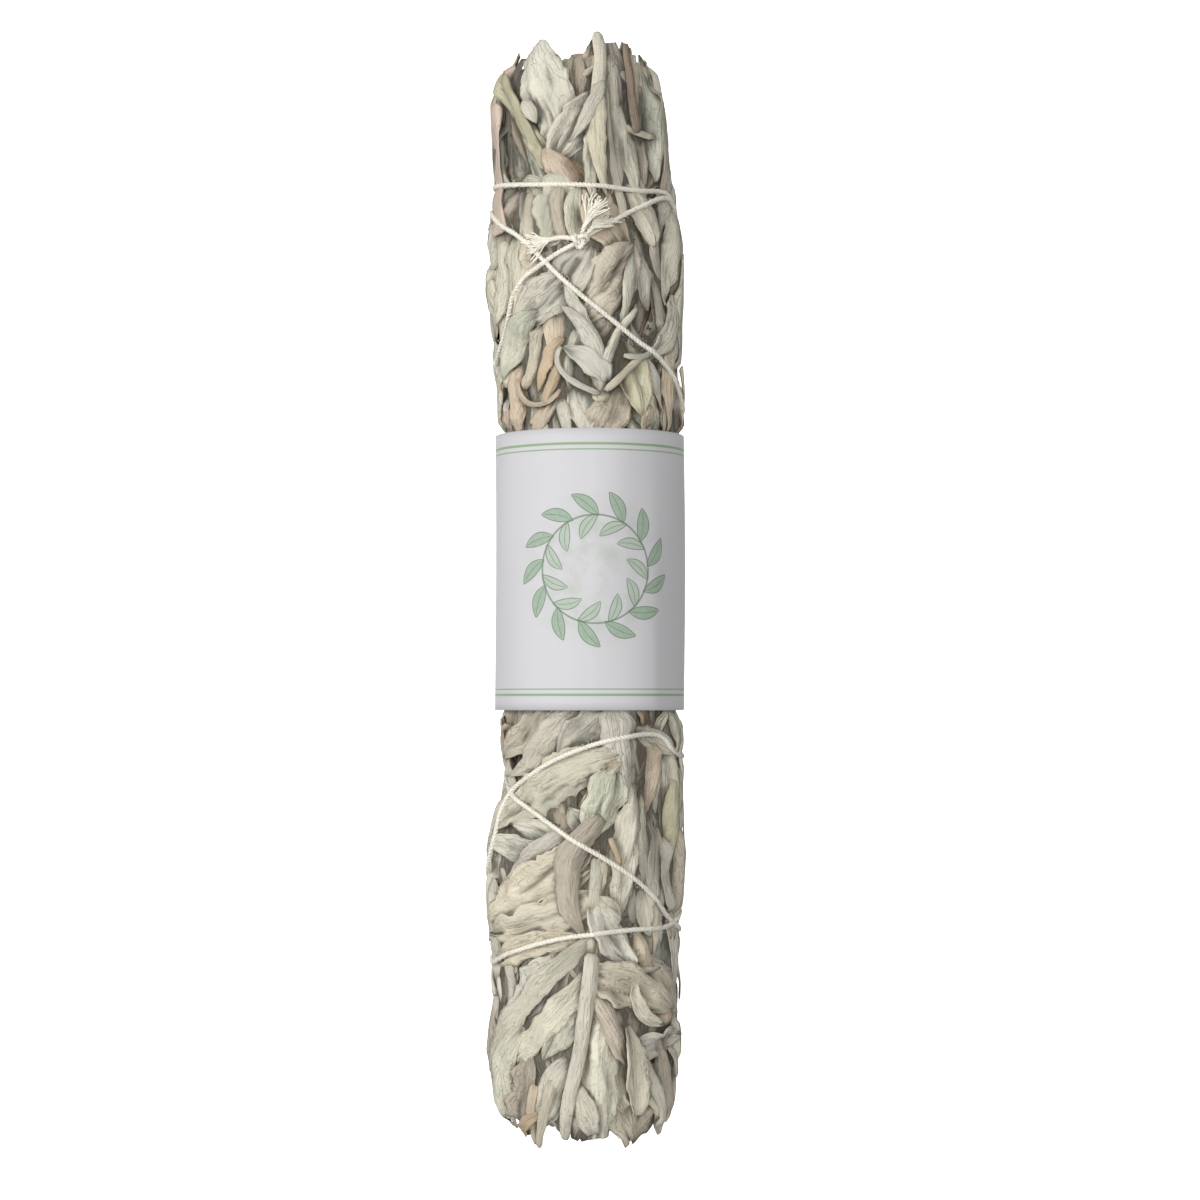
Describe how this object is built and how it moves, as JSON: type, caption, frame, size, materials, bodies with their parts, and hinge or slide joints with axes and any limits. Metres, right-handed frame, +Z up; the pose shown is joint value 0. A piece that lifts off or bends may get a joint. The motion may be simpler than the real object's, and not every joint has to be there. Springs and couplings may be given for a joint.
{
  "type": "sage bunch",
  "caption": "Dried white sage bunch lying flat: pressed felted leaves and stems bound crosswise with cotton twine, in a wide paper sleeve.",
  "frame": {"origin": "centre of the bunch's box, on the surface it lies on", "axes": "+Y along the bunch towards its top end, the end that the knot is near; +Z up, out of the side that the knot is on"},
  "size_m": [0.043, 0.2174, 0.0413],
  "materials": {
    "sage_leaves": "dry felted leaf",
    "shoot_leaves": "dry felted leaf, palest",
    "twig_bark": "dry bark",
    "cotton": "spun cotton",
    "sleeve_paper": "matt printed paper"
  },
  "bodies": {
    "root": {"leafy_stem_front_upper": "sage_leaves", "leafy_stem_front_lower": "sage_leaves", "leafy_stem_right": "sage_leaves", "leafy_stem_right_under": "sage_leaves", "leafy_stem_under": "sage_leaves", "leafy_stem_left_under": "sage_leaves", "tucked_shoot": "shoot_leaves", "dry_twig": "twig_bark", "cotton_twine": "cotton", "paper_sleeve": "sleeve_paper"}
  },
  "joints": []
}
